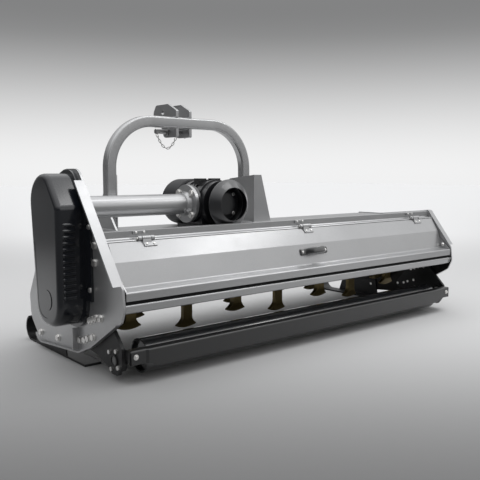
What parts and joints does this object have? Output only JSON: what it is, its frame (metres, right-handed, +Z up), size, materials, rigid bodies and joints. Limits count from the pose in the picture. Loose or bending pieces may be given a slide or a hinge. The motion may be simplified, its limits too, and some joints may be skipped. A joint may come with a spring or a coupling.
{
  "type": "flail mower",
  "caption": "Tractor-mounted flail mower with offset three-point hitch, belt-driven hammer rotor, hinged rear flap, skids and rear roller.",
  "frame": {"origin": "middle of the bounding box, on the ground under the skids", "axes": "+X across the cutting width to the right end, +Y ahead to the tractor, +Z up"},
  "size_m": [1.914, 0.796, 0.932],
  "materials": {
    "silver_paint": "metallic powder coat",
    "black_paint": "satin",
    "dark_grey_paint": "satin",
    "rubber": "matte",
    "cover_plastic": "gloss",
    "guard_plastic": "satin",
    "gearbox_cast": "black paint",
    "zinc_steel": "zinc plated",
    "bright_steel": "machined",
    "rotor_paint": "satin",
    "forged_steel": "forged, bronze tint"
  },
  "bodies": {
    "frame": {"deck_sheet": "silver_paint", "front_panel": "silver_paint", "left_side_plate": "silver_paint", "right_side_plate": "silver_paint", "hinge_bar": "silver_paint", "rear_crossbar": "silver_paint", "seal_strip": "rubber", "hitch_hoop": "silver_paint", "hitch_brackets": "silver_paint", "top_link_ears": "silver_paint", "lower_link_pins": "bright_steel", "top_link_pin": "bright_steel", "pin_chain": "zinc_steel", "gearbox_housing": "gearbox_cast", "gearbox_rear_cap": "gearbox_cast", "gearbox_bearings": "bright_steel", "rear_guard_cone": "guard_plastic", "front_guard": "guard_plastic", "shaft_tube": "silver_paint", "belt_cover": "cover_plastic", "drive_belts": "rubber", "shaft_bearings": "dark_grey_paint", "left_skid": "black_paint", "right_skid": "black_paint", "roller_brackets": "dark_grey_paint", "roller_bearings": "dark_grey_paint", "scraper_bar": "dark_grey_paint", "frame_bolts": "zinc_steel", "hinge_pins": "zinc_steel"},
    "rotor": {"rotor_tube": "rotor_paint", "rotor_stubs": "bright_steel", "hammer_bolts": "zinc_steel", "lower_pulley": "gearbox_cast"},
    "cross_shaft_body": {"cross_shaft": "bright_steel", "upper_pulley": "gearbox_cast"},
    "tractor_shaft_body": {"tractor_shaft": "bright_steel", "crown_gear": "bright_steel"},
    "roller_body": {"rear_roller": "black_paint"},
    "flap": {"rear_flap": "silver_paint", "flap_handle": "black_paint"},
    "hammer_01_body": {"hammer_01": "forged_steel"},
    "hammer_02_body": {"hammer_02": "forged_steel"},
    "hammer_03_body": {"hammer_03": "forged_steel"},
    "hammer_04_body": {"hammer_04": "forged_steel"},
    "hammer_05_body": {"hammer_05": "forged_steel"},
    "hammer_06_body": {"hammer_06": "forged_steel"},
    "hammer_07_body": {"hammer_07": "forged_steel"},
    "hammer_08_body": {"hammer_08": "forged_steel"},
    "hammer_09_body": {"hammer_09": "forged_steel"},
    "hammer_10_body": {"hammer_10": "forged_steel"},
    "hammer_11_body": {"hammer_11": "forged_steel"},
    "hammer_12_body": {"hammer_12": "forged_steel"},
    "hammer_13_body": {"hammer_13": "forged_steel"},
    "hammer_14_body": {"hammer_14": "forged_steel"},
    "hammer_15_body": {"hammer_15": "forged_steel"},
    "hammer_16_body": {"hammer_16": "forged_steel"},
    "hammer_17_body": {"hammer_17": "forged_steel"},
    "hammer_18_body": {"hammer_18": "forged_steel"}
  },
  "joints": [
    {"name": "rotor_spin", "type": "hinge", "parent": "frame", "child": "rotor", "pos_m": [0.035, -0.072, 0.235], "axis": [1, 0, 0], "continuous": true},
    {"name": "cross_shaft_spin", "type": "hinge", "parent": "frame", "child": "cross_shaft_body", "pos_m": [-0.665, -0.072, 0.538], "axis": [1, 0, 0], "continuous": true},
    {"name": "tractor_shaft_spin", "type": "hinge", "parent": "frame", "child": "tractor_shaft_body", "pos_m": [-0.29, -0.072, 0.538], "axis": [0, 1, 0], "continuous": true},
    {"name": "roller_spin", "type": "hinge", "parent": "frame", "child": "roller_body", "pos_m": [0.035, -0.316, 0.07], "axis": [1, 0, 0], "continuous": true},
    {"name": "flap_hinge", "type": "hinge", "parent": "frame", "child": "flap", "pos_m": [0.035, -0.27949, 0.444], "axis": [-1, 0, 0], "range_deg": [0, 110]},
    {"name": "hammer_01_swing", "type": "hinge", "parent": "rotor", "child": "hammer_01_body", "pos_m": [-0.781, -0.03086, 0.29163], "axis": [1, 0, 0], "range_deg": [0, 220]},
    {"name": "hammer_02_swing", "type": "hinge", "parent": "rotor", "child": "hammer_02_body", "pos_m": [-0.685, -0.13857, 0.21337], "axis": [1, 0, 0], "range_deg": [-182, 38]},
    {"name": "hammer_03_swing", "type": "hinge", "parent": "rotor", "child": "hammer_03_body", "pos_m": [-0.589, -0.00543, 0.21337], "axis": [1, 0, 0], "range_deg": [-38, 182]},
    {"name": "hammer_04_swing", "type": "hinge", "parent": "rotor", "child": "hammer_04_body", "pos_m": [-0.493, -0.11314, 0.29163], "axis": [1, 0, 0], "range_deg": [-220, 0]},
    {"name": "hammer_05_swing", "type": "hinge", "parent": "rotor", "child": "hammer_05_body", "pos_m": [-0.397, -0.072, 0.165], "axis": [1, 0, 0], "range_deg": [-110, 110]},
    {"name": "hammer_06_swing", "type": "hinge", "parent": "rotor", "child": "hammer_06_body", "pos_m": [-0.301, -0.03086, 0.29163], "axis": [1, 0, 0], "range_deg": [0, 220]},
    {"name": "hammer_07_swing", "type": "hinge", "parent": "rotor", "child": "hammer_07_body", "pos_m": [-0.205, -0.13857, 0.21337], "axis": [1, 0, 0], "range_deg": [-182, 38]},
    {"name": "hammer_08_swing", "type": "hinge", "parent": "rotor", "child": "hammer_08_body", "pos_m": [-0.109, -0.00543, 0.21337], "axis": [1, 0, 0], "range_deg": [-38, 182]},
    {"name": "hammer_09_swing", "type": "hinge", "parent": "rotor", "child": "hammer_09_body", "pos_m": [-0.013, -0.11314, 0.29163], "axis": [1, 0, 0], "range_deg": [-220, 0]},
    {"name": "hammer_10_swing", "type": "hinge", "parent": "rotor", "child": "hammer_10_body", "pos_m": [0.083, -0.072, 0.165], "axis": [1, 0, 0], "range_deg": [-110, 110]},
    {"name": "hammer_11_swing", "type": "hinge", "parent": "rotor", "child": "hammer_11_body", "pos_m": [0.179, -0.03086, 0.29163], "axis": [1, 0, 0], "range_deg": [0, 220]},
    {"name": "hammer_12_swing", "type": "hinge", "parent": "rotor", "child": "hammer_12_body", "pos_m": [0.275, -0.13857, 0.21337], "axis": [1, 0, 0], "range_deg": [-182, 38]},
    {"name": "hammer_13_swing", "type": "hinge", "parent": "rotor", "child": "hammer_13_body", "pos_m": [0.371, -0.00543, 0.21337], "axis": [1, 0, 0], "range_deg": [-38, 182]},
    {"name": "hammer_14_swing", "type": "hinge", "parent": "rotor", "child": "hammer_14_body", "pos_m": [0.467, -0.11314, 0.29163], "axis": [1, 0, 0], "range_deg": [-220, 0]},
    {"name": "hammer_15_swing", "type": "hinge", "parent": "rotor", "child": "hammer_15_body", "pos_m": [0.563, -0.072, 0.165], "axis": [1, 0, 0], "range_deg": [-110, 110]},
    {"name": "hammer_16_swing", "type": "hinge", "parent": "rotor", "child": "hammer_16_body", "pos_m": [0.659, -0.03086, 0.29163], "axis": [1, 0, 0], "range_deg": [0, 220]},
    {"name": "hammer_17_swing", "type": "hinge", "parent": "rotor", "child": "hammer_17_body", "pos_m": [0.755, -0.13857, 0.21337], "axis": [1, 0, 0], "range_deg": [-182, 38]},
    {"name": "hammer_18_swing", "type": "hinge", "parent": "rotor", "child": "hammer_18_body", "pos_m": [0.851, -0.00543, 0.21337], "axis": [1, 0, 0], "range_deg": [-38, 182]}
  ],
  "couplings": [
    {"joint": "cross_shaft_spin", "follows": "rotor_spin", "ratio": 0.64286},
    {"joint": "tractor_shaft_spin", "follows": "rotor_spin", "ratio": 0.25714}
  ]
}
